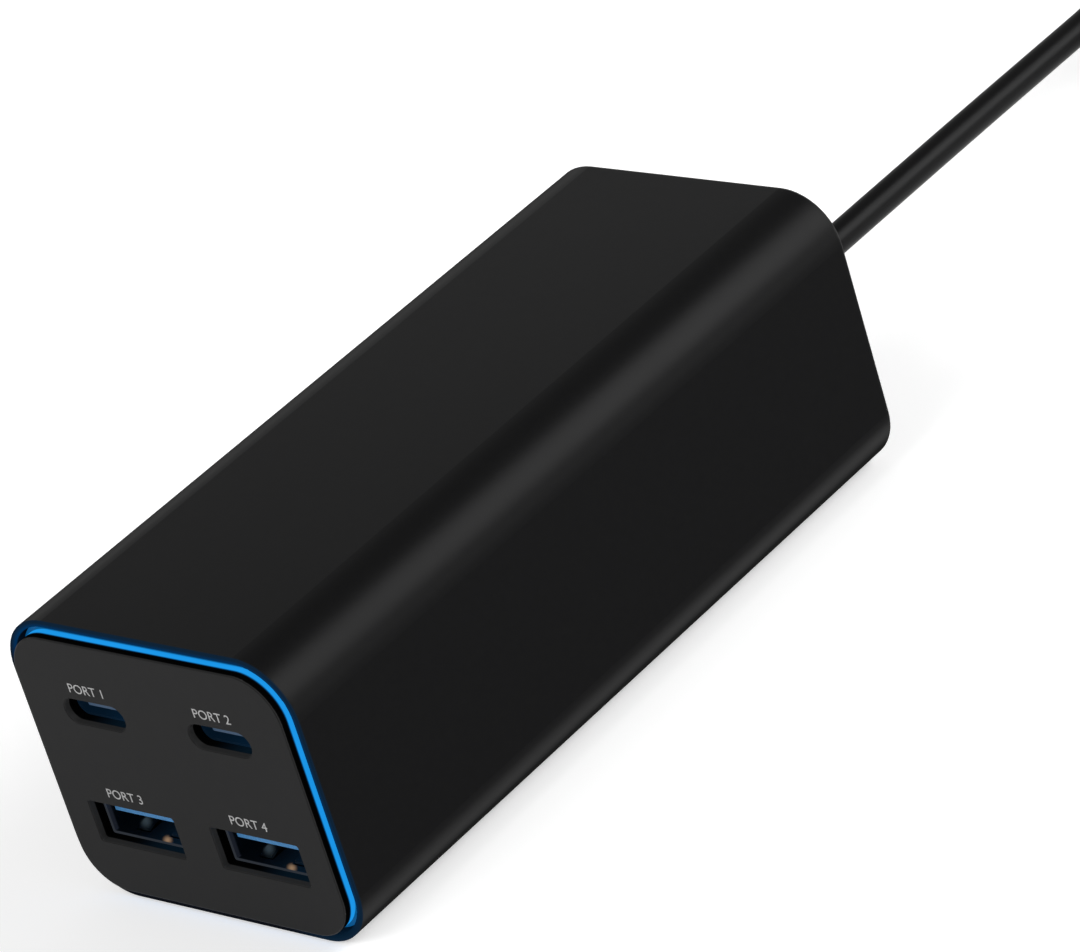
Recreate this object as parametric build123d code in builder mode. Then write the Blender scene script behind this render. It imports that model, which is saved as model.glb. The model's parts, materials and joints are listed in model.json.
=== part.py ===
from build123d import *
import math
import os

# Desktop charger with four ports, a lit ring round its front plate and a fixed mains lead.
# Millimetres. X to the right, Y to the back, Z up. The origin is under the middle of the housing.

# Housing
body_width = 45.0
body_height = 38.6
body_length = 107.2
corner_radius = 7.4
wall = 2.0
back_wall = 2.4
back_edge_radius = 0.8
least_radius = 0.4

# Stepped front: shell lip, groove, light ring, front plate
plate_proud = 1.15
lip_thickness = 0.85
lip_radius = 0.1
lip_inner_radius = 0.2
groove_width = 0.65
groove_depth = 1.6
ring_wall = 1.6
ring_seat = 1.6
plate_flange = 0.95
plate_thickness = 2.9
plate_edge = 0.25
seat_gap = 0.05

# Ports, measured from the middle of the front plate
c_column = 9.9
c_row = 8.05
a_column = 9.8
a_row = -7.95
nose_depth = 1.8
nose_gap = 0.15
port_length = 13.5
mouth_chamfer = 0.1
a_mouth_width = 13.7
a_mouth_height = 5.7
a_mouth_radius = 0.3
a_inner_width = 12.5
a_inner_height = 5.12
a_sheet = 0.3
a_tongue_width = 11.1
a_tongue_thickness = 1.84
a_tongue_drop = 0.7
a_tongue_setback = 0.65
a_tongue_edge = 0.12
a_base_length = 3.6
a_contact_count = 4
a_contact_width = 1.0
a_contact_pitch = 2.3
a_contact_thickness = 0.2
a_contact_bump = 0.35
a_bump_setback = 3.0
a_spring_width = 1.8
a_spring_setback = 1.0
a_spring_length = 5.0
a_spring_pitch = 5.4
a_spring_bend = 0.5
spring_slot = 0.35
c_mouth_width = 9.6
c_mouth_height = 3.4
c_inner_width = 8.34
c_inner_height = 2.56
c_sheet = 0.3
c_tongue_width = 6.69
c_tongue_thickness = 0.7
c_tongue_setback = 0.2
c_base_length = 8.0
c_contact_count = 12
c_contact_pitch = 0.5
c_contact_width = 0.25
c_contact_thickness = 0.06
c_contact_setback = 0.5
moulding_gap = 0.05

# Boards
board_thickness = 1.6
board_standoff = 4.2
board_side_gap = 0.3
board_end_gap = 1.2
rail_depth = 1.5
rail_height = 1.2
rail_gap = 0.15
led_board_thickness = 1.0
led_board_width = 2.6
led_long = 3.0
led_wide = 0.6
led_height = 0.7
led_pitch = 18.0
header_width = 24.0
header_depth = 2.5
header_height = 3.0

# Power parts on the main board
spreader_sheet = 0.8
film_thickness = 0.4
film_gap = 0.2
transformer_width = 26.0
transformer_depth = 9.5
core_leg = 3.2
core_yoke = 4.0
core_centre_leg = 8.4
bobbin_wall = 0.8
bobbin_gap = 0.1
winding_inset = 0.4
pad_width = 18.0
pad_depth = 9.0
pad_thickness = 2.9
bulk_radius = 6.4
bulk_head_gap = 1.9
bulk_pitch = 15.0
can_edge = 0.8
output_count = 4
output_radius = 3.8
output_height = 11.5
output_pitch = 8.6
inductor_count = 3
inductor_side = 8.0
inductor_height = 4.5
inductor_pitch = 11.0
inductor_corner = 1.2
choke_core_outer = 7.6
choke_core_inner = 4.4
choke_core_height = 6.0
choke_wrap = 1.0
choke_arc = 120.0
bridge_length = 14.5
bridge_thickness = 3.5
bridge_height = 11.0
bridge_notch = 2.5
film_capacitor_length = 13.0
film_capacitor_width = 6.5
film_capacitor_height = 12.5
fuse_length = 8.4
fuse_width = 4.2
fuse_height = 7.6
fuse_x = 11.0
chip_count = 3
chip_side = 5.0
chip_height = 0.9
chip_spacing = 24.0
component_edge = 0.5

# Mains lead, its strain relief, tie and plug
cord_diameter = 4.0
cord_z = 16.0
gland_hole_radius = 4.2
gland_flange_radius = 6.0
gland_flange = 2.0
relief_length = 20.0
relief_root_radius = 4.4
relief_tip_radius = 2.7
relief_grooves = 5
relief_groove_width = 1.0
relief_groove_depth = 0.7
lead_radius = 0.8
lead_spacing = 4.0
lead_reach = 4.0
lead_bend = 3.0
route_straight = 49.0
route_turn = 78.0
route_join = 92.0
route_drift = 0.2
route_sag = 0.4
arc_share = 0.45
hank_x = 12.0
hank_near = 116.0
hank_run = 60.0
hank_fold_radius = 16.1
hank_layers = 4
hank_columns = 4
hank_pitch = 4.1
hank_waist_fillet = 24.0
hank_edge = 2.0
hank_stub = 13.0
tie_thickness = 0.8
tie_width = 7.0
tie_gap = 0.1
tail_length = 8.0
plug_width = 35.3
plug_length = 32.0
plug_neck_width = 15.0
plug_taper_length = 20.0
plug_corner = 4.0
plug_edge = 2.0
plug_relief_length = 12.0
plug_relief_radius = 4.6
pin_spacing = 18.6
pin_radius = 2.0
pin_length = 19.0
pin_core_radius = 1.4
pin_sleeve_radius = 1.75
pin_sleeve_length = 10.0
pin_embed = 9.0
pin_tip_radius = 1.4

os.makedirs("parts", exist_ok=True)

# Places that follow from the sizes above
mid_z = body_height / 2
front_y = -body_length / 2
back_y = body_length / 2
rim_y = front_y + plate_proud
cavity_end_y = back_y - back_wall
plate_inset = lip_thickness + groove_width
ring_front_y = front_y + plate_flange
groove_floor_y = rim_y + groove_depth
ring_back_y = groove_floor_y + ring_seat
ring_bore_inset = plate_inset + ring_wall
plate_back_y = front_y + plate_thickness
nose_y = front_y + nose_depth
port_board_y = nose_y + port_length
board_front_y = port_board_y + board_thickness
board_end_y = cavity_end_y - board_end_gap
board_z = wall + board_standoff
board_top_z = board_z + board_thickness
board_length = board_end_y - board_front_y
spreader_inset = wall + rail_depth + film_gap + film_thickness
spreader_roof_z = body_height - spreader_inset - spreader_sheet
spreader_span = body_width - 2 * (spreader_inset + spreader_sheet)
transformer_height = spreader_roof_z - board_top_z - pad_thickness
bulk_height = spreader_roof_z - board_top_z - bulk_head_gap
window_height = transformer_height - 2 * core_yoke
window_width = (transformer_width - core_centre_leg) / 2 - core_leg
flange_x = core_centre_leg + 2 * (window_width - bobbin_gap)
flange_y = transformer_depth + 2 * (window_width - bobbin_gap)
choke_outer = choke_core_outer + choke_wrap
lead_start_y = cavity_end_y - gland_flange
landing_y = lead_start_y - lead_reach
landing_length = board_end_y - landing_y + lead_radius

# Rows of parts along the main board, with what they leave of its length shared out as gaps
row_lengths = [header_depth, inductor_side, 2 * output_radius, flange_y]
row_lengths += [2 * bulk_radius, 2 * choke_outer, landing_length]
row_gap = (board_length - sum(row_lengths)) / (len(row_lengths) - 1)
row_middles = []
row_start_y = board_front_y
for row_length in row_lengths:
    row_middles.append(row_start_y + row_length / 2)
    row_start_y += row_length + row_gap
header_y, inductor_y, output_y, transformer_y, bulk_y, filter_y, fuse_y = row_middles
spreader_y = transformer_y - flange_y / 2
spreader_length = filter_y + choke_outer - spreader_y

# Mains filter parts side by side under the heat spreader, with even gaps
filter_gap = (spreader_span - 2 * choke_outer - film_capacitor_width - bridge_thickness) / 4
choke_x = filter_gap + choke_outer - spreader_span / 2
film_capacitor_x = choke_x + choke_outer + filter_gap + film_capacitor_width / 2
bridge_x = spreader_span / 2 - filter_gap - bridge_thickness / 2


def section(y, x=0.0, z=0.0):
    """Plane across the housing at y that faces the front, its origin at x, z from the long axis."""
    return Plane(origin=(x, y, mid_z + z), x_dir=(1, 0, 0), z_dir=(0, -1, 0))


def outline(inset, mode=Mode.ADD):
    """The housing's rounded section, drawn inset from its outer face."""
    radius = max(corner_radius - inset, least_radius)
    RectangleRounded(body_width - 2 * inset, body_height - 2 * inset, radius, mode=mode)


def depth(y_from, y_to):
    """Extrusion amount that carries a section at y_from to y_to."""
    return y_from - y_to


# Shell: one moulding with a closed back, a rebate for the ring and rails for the main board
with BuildPart() as housing_shell:
    with BuildSketch(section(rim_y)):
        outline(0)
    extrude(amount=depth(rim_y, back_y))
    fillet(housing_shell.faces().sort_by(Axis.Y)[-1].edges(), back_edge_radius)
    fillet(housing_shell.faces().sort_by(Axis.Y)[0].edges(), lip_radius)
    with BuildSketch(section(rim_y)):
        outline(wall)
    extrude(amount=depth(rim_y, cavity_end_y), mode=Mode.SUBTRACT)
    with BuildSketch(section(rim_y)):
        outline(lip_thickness)
    extrude(amount=depth(rim_y, ring_back_y), mode=Mode.SUBTRACT)
    lip_face = housing_shell.faces().sort_by(Axis.Y)[0]
    fillet(lip_face.inner_wires()[0].edges(), lip_inner_radius)
    rail_span = body_width - 2 * (wall + rail_depth)
    rail_offset = (board_thickness + rail_height) / 2 + rail_gap
    rail_mid_z = board_z + board_thickness / 2 - mid_z
    with BuildSketch(section(board_front_y)):
        with Locations((0, rail_mid_z - rail_offset), (0, rail_mid_z + rail_offset)):
            Rectangle(body_width, rail_height)
        with Locations((0, rail_mid_z)):
            Rectangle(rail_span, 2 * (rail_offset + rail_height), mode=Mode.SUBTRACT)
        outline(wall / 2, mode=Mode.INTERSECT)
    extrude(amount=depth(board_front_y, cavity_end_y + back_wall / 2))
    with BuildSketch(section(back_y, z=cord_z - mid_z)):
        Circle(gland_hole_radius)
    extrude(amount=back_wall, mode=Mode.SUBTRACT)
housing_shell.part.label = "housing_shell"
export_step(housing_shell.part, "parts/housing_shell.step")

# Light ring: its wall shows in the groove, its base seats in the shell's rebate
with BuildPart() as light_ring:
    with BuildSketch(section(groove_floor_y)):
        outline(lip_thickness + seat_gap)
    extrude(amount=depth(groove_floor_y, ring_back_y))
    with BuildSketch(section(ring_front_y)):
        outline(plate_inset)
    extrude(amount=depth(ring_front_y, groove_floor_y))
    with BuildSketch(section(ring_front_y)):
        outline(ring_bore_inset)
    extrude(amount=depth(ring_front_y, ring_back_y), mode=Mode.SUBTRACT)
light_ring.part.label = "light_ring"
export_step(light_ring.part, "parts/light_ring.step")

a_outer_width = a_inner_width + 2 * a_sheet
a_outer_height = a_inner_height + 2 * a_sheet
c_outer_width = c_inner_width + 2 * c_sheet
c_outer_height = c_inner_height + 2 * c_sheet
a_places = [(-a_column, a_row), (a_column, a_row)]
c_places = [(-c_column, c_row), (c_column, c_row)]

# Front plate: a flange over the ring, a boss in its bore, mouths and seats for the ports
with BuildPart() as front_plate:
    with BuildSketch(section(front_y)):
        outline(plate_inset)
    extrude(amount=depth(front_y, ring_front_y))
    fillet(front_plate.faces().sort_by(Axis.Y)[0].edges(), plate_edge)
    with BuildSketch(section(ring_front_y)):
        outline(ring_bore_inset + seat_gap)
    extrude(amount=depth(ring_front_y, plate_back_y))
    with BuildSketch(section(front_y)):
        with Locations(*a_places):
            RectangleRounded(a_mouth_width, a_mouth_height, a_mouth_radius)
        with Locations(*c_places):
            SlotOverall(c_mouth_width, c_mouth_height)
    extrude(amount=depth(front_y, plate_back_y), mode=Mode.SUBTRACT)
    plate_face = front_plate.faces().sort_by(Axis.Y)[0]
    chamfer(plate_face.inner_wires().edges(), mouth_chamfer)
    with BuildSketch(section(nose_y)):
        with Locations(*a_places):
            Rectangle(a_outer_width + 2 * nose_gap, a_outer_height + 2 * nose_gap)
        with Locations(*c_places):
            SlotOverall(c_outer_width + 2 * nose_gap, c_outer_height + 2 * nose_gap)
    extrude(amount=depth(nose_y, plate_back_y), mode=Mode.SUBTRACT)
front_plate.part.label = "front_plate"
export_step(front_plate.part, "parts/front_plate.step")

# Two larger ports: folded shell with spring fingers, moulded tongue, sprung contacts
a_tongue_z = a_inner_height / 2 - a_tongue_drop - a_tongue_thickness / 2
a_tongue_front_y = nose_y + a_tongue_setback
a_base_y = port_board_y - a_base_length
a_finger_y = nose_y + a_spring_setback
for number, (port_x, port_z) in enumerate(a_places, start=1):
    name = f"port_a{number}"
    with BuildPart() as port_shell:
        with BuildSketch(section(nose_y, port_x, port_z)):
            RectangleRounded(a_outer_width, a_outer_height, a_mouth_radius)
            Rectangle(a_inner_width, a_inner_height, mode=Mode.SUBTRACT)
        extrude(amount=depth(nose_y, port_board_y))
        finger_plane = Plane(origin=(port_x, a_finger_y, mid_z + port_z))
        with BuildSketch(finger_plane):
            with GridLocations(a_spring_pitch, 0, 2, 1):
                with Locations((0, a_spring_length / 2)):
                    Rectangle(a_spring_width + 2 * spring_slot, a_spring_length)
        extrude(amount=a_outer_height / 2, both=True, mode=Mode.SUBTRACT)
        for side in (-1, 1):
            finger_x = port_x + side * a_spring_pitch / 2 - a_spring_width / 2
            for face in (-1, 1):
                leaf_z = mid_z + port_z + face * a_inner_height / 2
                leaf_plane = Plane(
                    origin=(finger_x, a_finger_y, leaf_z), x_dir=(0, 1, 0), z_dir=(1, 0, 0)
                )
                with BuildSketch(leaf_plane):
                    with BuildLine():
                        Polyline(
                            (a_spring_length, 0),
                            (a_spring_length / 3, -face * a_spring_bend),
                            (spring_slot, -face * a_spring_bend / 3),
                            (spring_slot, face * (a_sheet - a_spring_bend / 3)),
                            (a_spring_length / 3, face * (a_sheet - a_spring_bend)),
                            (a_spring_length, face * a_sheet),
                            close=True,
                        )
                    make_face()
                extrude(amount=a_spring_width)
    port_shell.part.label = f"{name}_shell"
    export_step(port_shell.part, f"parts/{name}_shell.step")

    with BuildPart() as port_tongue:
        with BuildSketch(section(a_base_y, port_x, port_z)):
            Rectangle(a_inner_width - 2 * moulding_gap, a_inner_height - 2 * moulding_gap)
        extrude(amount=depth(a_base_y, port_board_y))
        with BuildSketch(section(a_tongue_front_y, port_x, port_z + a_tongue_z)):
            Rectangle(a_tongue_width, a_tongue_thickness)
        extrude(amount=depth(a_tongue_front_y, a_base_y))
        tongue_front = port_tongue.faces().sort_by(Axis.Y)[0]
        chamfer(tongue_front.edges().filter_by(Axis.X), a_tongue_edge)
    port_tongue.part.label = f"{name}_tongue"
    export_step(port_tongue.part, f"parts/{name}_tongue.step")

    contact_z = mid_z + port_z + a_tongue_z - a_tongue_thickness / 2
    contact_length = a_base_y - a_tongue_front_y - 2 * a_sheet
    bump_top = contact_length - a_bump_setback
    bump_near = (bump_top + a_contact_width, a_contact_thickness)
    bump_far = (bump_top - a_contact_width, a_contact_thickness)
    with BuildPart() as port_contacts:
        for step in range(a_contact_count):
            step_x = (step - (a_contact_count - 1) / 2) * a_contact_pitch
            contact_plane = Plane(
                origin=(port_x + step_x - a_contact_width / 2, a_base_y, contact_z),
                x_dir=(0, -1, 0),
                z_dir=(1, 0, 0),
            )
            with BuildSketch(contact_plane):
                with BuildLine():
                    Polyline(
                        bump_far,
                        (0, a_contact_thickness),
                        (0, 0),
                        (contact_length, 0),
                        (contact_length, a_contact_thickness),
                        bump_near,
                    )
                    ThreePointArc(bump_near, (bump_top, a_contact_thickness + a_contact_bump), bump_far)
                make_face()
            extrude(amount=a_contact_width)
    port_contacts.part.label = f"{name}_contacts"
    export_step(port_contacts.part, f"parts/{name}_contacts.step")

# Two smaller ports: seamless shell, thin tongue, contacts on both of its faces
c_tongue_front_y = nose_y + c_tongue_setback
c_base_y = port_board_y - c_base_length
c_contact_y = c_tongue_front_y + c_contact_setback
for number, (port_x, port_z) in enumerate(c_places, start=1):
    name = f"port_c{number}"
    with BuildPart() as port_shell:
        with BuildSketch(section(nose_y, port_x, port_z)):
            SlotOverall(c_outer_width, c_outer_height)
            SlotOverall(c_inner_width, c_inner_height, mode=Mode.SUBTRACT)
        extrude(amount=depth(nose_y, port_board_y))
    port_shell.part.label = f"{name}_shell"
    export_step(port_shell.part, f"parts/{name}_shell.step")

    with BuildPart() as port_tongue:
        with BuildSketch(section(c_base_y, port_x, port_z)):
            SlotOverall(c_inner_width - 2 * moulding_gap, c_inner_height - 2 * moulding_gap)
        extrude(amount=depth(c_base_y, port_board_y))
        with BuildSketch(section(c_tongue_front_y, port_x, port_z)):
            Rectangle(c_tongue_width, c_tongue_thickness)
        extrude(amount=depth(c_tongue_front_y, c_base_y))
        tongue_front = port_tongue.faces().sort_by(Axis.Y)[0]
        fillet(tongue_front.edges().filter_by(Axis.Z), c_tongue_thickness)
    port_tongue.part.label = f"{name}_tongue"
    export_step(port_tongue.part, f"parts/{name}_tongue.step")

    with BuildPart() as port_contacts:
        with BuildSketch(section(c_contact_y, port_x, port_z)):
            with GridLocations(
                c_contact_pitch, c_tongue_thickness + c_contact_thickness, c_contact_count, 2
            ):
                Rectangle(c_contact_width, c_contact_thickness)
        extrude(amount=depth(c_contact_y, c_base_y))
    port_contacts.part.label = f"{name}_contacts"
    export_step(port_contacts.part, f"parts/{name}_contacts.step")

# Board that carries the ports
with BuildPart() as port_board:
    with BuildSketch(section(port_board_y)):
        outline(wall + board_side_gap)
    extrude(amount=-board_thickness)
port_board.part.label = "port_board"
export_step(port_board.part, "parts/port_board.step")

# Narrow board behind the light ring, and the lamps that shine into the ring's base
led_board_y = ring_back_y + led_height
led_inset = wall + board_side_gap + led_wide / 2
with BuildPart() as led_board:
    with BuildSketch(section(led_board_y)):
        outline(wall + board_side_gap)
        outline(wall + board_side_gap + led_board_width, mode=Mode.SUBTRACT)
    extrude(amount=-led_board_thickness)
led_board.part.label = "led_board"
export_step(led_board.part, "parts/led_board.step")

led_side = body_width / 2 - led_inset
led_top = body_height / 2 - led_inset
led_places = [(side * led_side, 0, led_wide, led_long) for side in (-1, 1)]
for led_row in (led_top, -led_top):
    led_places += [(side * led_pitch / 2, led_row, led_long, led_wide) for side in (-1, 1)]
for number, (led_x, led_z, led_width, led_tall) in enumerate(led_places, start=1):
    with BuildPart() as ring_led:
        with BuildSketch(section(ring_back_y, led_x, led_z)):
            Rectangle(led_width, led_tall)
        extrude(amount=-led_height)
    ring_led.part.label = f"ring_led_{number}"
    export_step(ring_led.part, f"parts/ring_led_{number}.step")

# Main board in the shell's rails
board_mid_y = (board_end_y + board_front_y) / 2
board_plane = Plane.XY.offset(board_top_z)
with BuildPart() as main_board:
    with BuildSketch(board_plane):
        with Locations((0, board_mid_y)):
            Rectangle(body_width - 2 * (wall + board_side_gap), board_length)
    extrude(amount=-board_thickness)
main_board.part.label = "main_board"
export_step(main_board.part, "parts/main_board.step")

# Strip of pins in the corner between the two boards
with BuildPart() as board_header:
    with BuildSketch(board_plane):
        with Locations((0, header_y)):
            Rectangle(header_width, header_depth)
    extrude(amount=header_height)
board_header.part.label = "board_header"
export_step(board_header.part, "parts/board_header.step")

# Transformer: closed core with two windows, a bobbin on its middle leg, a taped winding
transformer_plane = Plane(
    origin=(0, transformer_y, board_top_z), x_dir=(1, 0, 0), z_dir=(0, -1, 0)
)
window_pitch = core_centre_leg + window_width
with BuildPart() as transformer_core:
    with BuildSketch(transformer_plane):
        with Locations((0, transformer_height / 2)):
            Rectangle(transformer_width, transformer_height)
            with GridLocations(window_pitch, 0, 2, 1):
                Rectangle(window_width, window_height, mode=Mode.SUBTRACT)
    extrude(amount=transformer_depth / 2, both=True)
transformer_core.part.label = "transformer_core"
export_step(transformer_core.part, "parts/transformer_core.step")

bobbin_inner_x = core_centre_leg + 2 * bobbin_gap
bobbin_inner_y = transformer_depth + 2 * bobbin_gap
spool_x = bobbin_inner_x + 2 * bobbin_wall
spool_y = bobbin_inner_y + 2 * bobbin_wall
bobbin_z = board_top_z + core_yoke + bobbin_gap
bobbin_height = window_height - 2 * bobbin_gap
with BuildPart() as transformer_bobbin:
    for flange_z in (bobbin_z, bobbin_z + bobbin_height - bobbin_wall):
        with BuildSketch(Plane.XY.offset(flange_z)):
            with Locations((0, transformer_y)):
                Rectangle(flange_x, flange_y)
        extrude(amount=bobbin_wall)
    with BuildSketch(Plane.XY.offset(bobbin_z)):
        with Locations((0, transformer_y)):
            Rectangle(spool_x, spool_y)
    extrude(amount=bobbin_height)
    with BuildSketch(Plane.XY.offset(bobbin_z)):
        with Locations((0, transformer_y)):
            Rectangle(bobbin_inner_x, bobbin_inner_y)
    extrude(amount=bobbin_height, mode=Mode.SUBTRACT)
transformer_bobbin.part.label = "transformer_bobbin"
export_step(transformer_bobbin.part, "parts/transformer_bobbin.step")

with BuildPart() as transformer_winding:
    with BuildSketch(Plane.XY.offset(bobbin_z + bobbin_wall)):
        with Locations((0, transformer_y)):
            RectangleRounded(flange_x - 2 * winding_inset, flange_y - 2 * winding_inset, core_leg)
            Rectangle(spool_x, spool_y, mode=Mode.SUBTRACT)
    extrude(amount=bobbin_height - 2 * bobbin_wall)
transformer_winding.part.label = "transformer_winding"
export_step(transformer_winding.part, "parts/transformer_winding.step")

# Soft pad that carries the transformer's heat to the spreader
with BuildPart() as thermal_pad:
    with BuildSketch(board_plane.offset(transformer_height)):
        with Locations((0, transformer_y)):
            Rectangle(pad_width, pad_depth)
    extrude(amount=pad_thickness)
thermal_pad.part.label = "thermal_pad"
export_step(thermal_pad.part, "parts/thermal_pad.step")

# Two storage capacitors and four output capacitors
for number, bulk_x in enumerate((-bulk_pitch / 2, bulk_pitch / 2), start=1):
    with BuildPart() as bulk_capacitor:
        with BuildSketch(board_plane):
            with Locations((bulk_x, bulk_y)):
                Circle(bulk_radius)
        extrude(amount=bulk_height)
        chamfer(bulk_capacitor.faces().sort_by(Axis.Z)[-1].edges(), can_edge)
    bulk_capacitor.part.label = f"bulk_capacitor_{number}"
    export_step(bulk_capacitor.part, f"parts/bulk_capacitor_{number}.step")

for number in range(1, output_count + 1):
    with BuildPart() as output_capacitor:
        with BuildSketch(board_plane):
            with Locations(((number - (output_count + 1) / 2) * output_pitch, output_y)):
                Circle(output_radius)
        extrude(amount=output_height)
        chamfer(output_capacitor.faces().sort_by(Axis.Z)[-1].edges(), can_edge)
    output_capacitor.part.label = f"output_capacitor_{number}"
    export_step(output_capacitor.part, f"parts/output_capacitor_{number}.step")

# Three output inductors
for number in range(1, inductor_count + 1):
    with BuildPart() as output_inductor:
        with BuildSketch(board_plane):
            with Locations(((number - (inductor_count + 1) / 2) * inductor_pitch, inductor_y)):
                RectangleRounded(inductor_side, inductor_side, inductor_corner)
        extrude(amount=inductor_height)
        chamfer(output_inductor.faces().sort_by(Axis.Z)[-1].edges(), component_edge)
    output_inductor.part.label = f"output_inductor_{number}"
    export_step(output_inductor.part, f"parts/output_inductor_{number}.step")

# Mains filter choke: a flat ring core in two windings that wrap it and stand on the board
choke_axis = Axis((choke_x, filter_y, 0), (0, 0, 1))
choke_core_z = board_top_z + choke_wrap
with BuildPart() as choke_core:
    with BuildSketch(Plane.XY.offset(choke_core_z)):
        with Locations((choke_x, filter_y)):
            Circle(choke_core_outer)
            Circle(choke_core_inner, mode=Mode.SUBTRACT)
    extrude(amount=choke_core_height)
choke_core.part.label = "choke_core"
export_step(choke_core.part, "parts/choke_core.step")

core_mid_radius = (choke_core_outer + choke_core_inner) / 2
core_radial = choke_core_outer - choke_core_inner
for number, start_angle in enumerate((-choke_arc / 2, 180 - choke_arc / 2), start=1):
    radial = (math.cos(math.radians(start_angle)), math.sin(math.radians(start_angle)), 0)
    across = (radial[1], -radial[0], 0)
    winding_plane = Plane(
        origin=(choke_x, filter_y, choke_core_z + choke_core_height / 2), x_dir=radial, z_dir=across
    )
    with BuildPart() as choke_winding:
        with BuildSketch(winding_plane):
            with Locations((core_mid_radius, 0)):
                Rectangle(core_radial + 2 * choke_wrap, choke_core_height + 2 * choke_wrap)
                Rectangle(
                    core_radial + 2 * moulding_gap,
                    choke_core_height + 2 * moulding_gap,
                    mode=Mode.SUBTRACT,
                )
        revolve(axis=choke_axis, revolution_arc=choke_arc)
    choke_winding.part.label = f"choke_winding_{number}"
    export_step(choke_winding.part, f"parts/choke_winding_{number}.step")

# Bridge rectifier, stood on edge, with one corner cut to mark its first leg
with BuildPart() as bridge_rectifier:
    bridge_foot = (bridge_x, filter_y, board_top_z)
    bridge_plane = Plane(origin=bridge_foot, x_dir=(0, 1, 0), z_dir=(1, 0, 0))
    with BuildSketch(bridge_plane):
        with Locations((0, bridge_height / 2)):
            Rectangle(bridge_length, bridge_height)
    extrude(amount=bridge_thickness / 2, both=True)
    top_corner = bridge_rectifier.edges().filter_by(Axis.X).group_by(Axis.Z)[-1].sort_by(Axis.Y)[-1]
    chamfer(top_corner, bridge_notch)
bridge_rectifier.part.label = "bridge_rectifier"
export_step(bridge_rectifier.part, "parts/bridge_rectifier.step")

# Mains filter capacitor and fuse
with BuildPart() as film_capacitor:
    with BuildSketch(board_plane):
        with Locations((film_capacitor_x, filter_y)):
            Rectangle(film_capacitor_width, film_capacitor_length)
    extrude(amount=film_capacitor_height)
    fillet(film_capacitor.faces().sort_by(Axis.Z)[-1].edges(), component_edge)
film_capacitor.part.label = "film_capacitor"
export_step(film_capacitor.part, "parts/film_capacitor.step")

with BuildPart() as fuse:
    with BuildSketch(board_plane):
        with Locations((fuse_x, fuse_y)):
            Rectangle(fuse_length, fuse_width)
    extrude(amount=fuse_height)
    fillet(fuse.faces().sort_by(Axis.Z)[-1].edges(), component_edge)
fuse.part.label = "fuse"
export_step(fuse.part, "parts/fuse.step")

# Control chips under the main board
for number in range(1, chip_count + 1):
    with BuildPart() as control_chip:
        with BuildSketch(Plane.XY.offset(board_z)):
            with Locations((0, board_mid_y + (number - (chip_count + 1) / 2) * chip_spacing)):
                Rectangle(chip_side, chip_side)
        extrude(amount=-chip_height)
    control_chip.part.label = f"control_chip_{number}"
    export_step(control_chip.part, f"parts/control_chip_{number}.step")


def fold(inset, thickness):
    """Section of a sheet folded over the power parts: a roof and two sides down to the main board."""
    outline(inset)
    outline(inset + thickness, mode=Mode.SUBTRACT)
    with Locations((0, board_top_z - mid_z)):
        Rectangle(body_width, body_height, align=(Align.CENTER, Align.MAX), mode=Mode.SUBTRACT)


# Heat spreader of folded aluminium, and the insulating film round it
with BuildPart() as heat_spreader:
    with BuildSketch(section(spreader_y)):
        fold(spreader_inset, spreader_sheet)
    extrude(amount=-spreader_length)
heat_spreader.part.label = "heat_spreader"
export_step(heat_spreader.part, "parts/heat_spreader.step")

with BuildPart() as insulating_film:
    with BuildSketch(section(spreader_y)):
        fold(spreader_inset - film_thickness, film_thickness)
    extrude(amount=-spreader_length)
insulating_film.part.label = "insulating_film"
export_step(insulating_film.part, "parts/insulating_film.step")

# Strain relief: a flange each side of the back wall and a grooved taper
relief_plane = Plane(origin=(0, back_y, cord_z), x_dir=(0, 1, 0), z_dir=(0, 0, 1))
relief_axis = Axis((0, back_y, cord_z), (0, 1, 0))
relief_taper = (relief_root_radius - relief_tip_radius) / (relief_length - gland_flange)
with BuildPart() as strain_relief:
    with BuildSketch(relief_plane):
        with BuildLine():
            Polyline(
                (-back_wall - gland_flange, 0),
                (-back_wall - gland_flange, gland_flange_radius),
                (-back_wall, gland_flange_radius),
                (-back_wall, gland_hole_radius - seat_gap),
                (0, gland_hole_radius - seat_gap),
                (0, gland_flange_radius),
                (gland_flange, gland_flange_radius),
                (gland_flange, relief_root_radius),
                (relief_length, relief_tip_radius),
                (relief_length, 0),
                close=True,
            )
        make_face()
    revolve(axis=relief_axis)
    groove_pitch = (relief_length - gland_flange) / (relief_grooves + 1)
    for groove in range(1, relief_grooves + 1):
        groove_x = gland_flange + groove * groove_pitch
        groove_radius = relief_root_radius - relief_taper * groove * groove_pitch
        with BuildSketch(relief_plane):
            with Locations((groove_x, groove_radius)):
                Rectangle(relief_groove_width, 2 * relief_groove_depth)
        revolve(axis=relief_axis, mode=Mode.SUBTRACT)
strain_relief.part.label = "strain_relief"
export_step(strain_relief.part, "parts/strain_relief.step")

# Two leads from the cord's inner end down to the main board
for number, lead_x in enumerate((-lead_spacing / 2, lead_spacing / 2), start=1):
    with BuildPart() as mains_lead:
        with BuildLine() as lead_path:
            FilletPolyline(
                (lead_x, lead_start_y, cord_z),
                (lead_x, landing_y, cord_z),
                (lead_x, landing_y, board_top_z),
                radius=lead_bend,
            )
        with BuildSketch(Plane(origin=(lead_x, lead_start_y, cord_z), z_dir=(0, -1, 0))):
            Circle(lead_radius)
        sweep(path=lead_path.wires()[0])
    mains_lead.part.label = f"mains_lead_{number}"
    export_step(mains_lead.part, f"parts/mains_lead_{number}.step")


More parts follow.
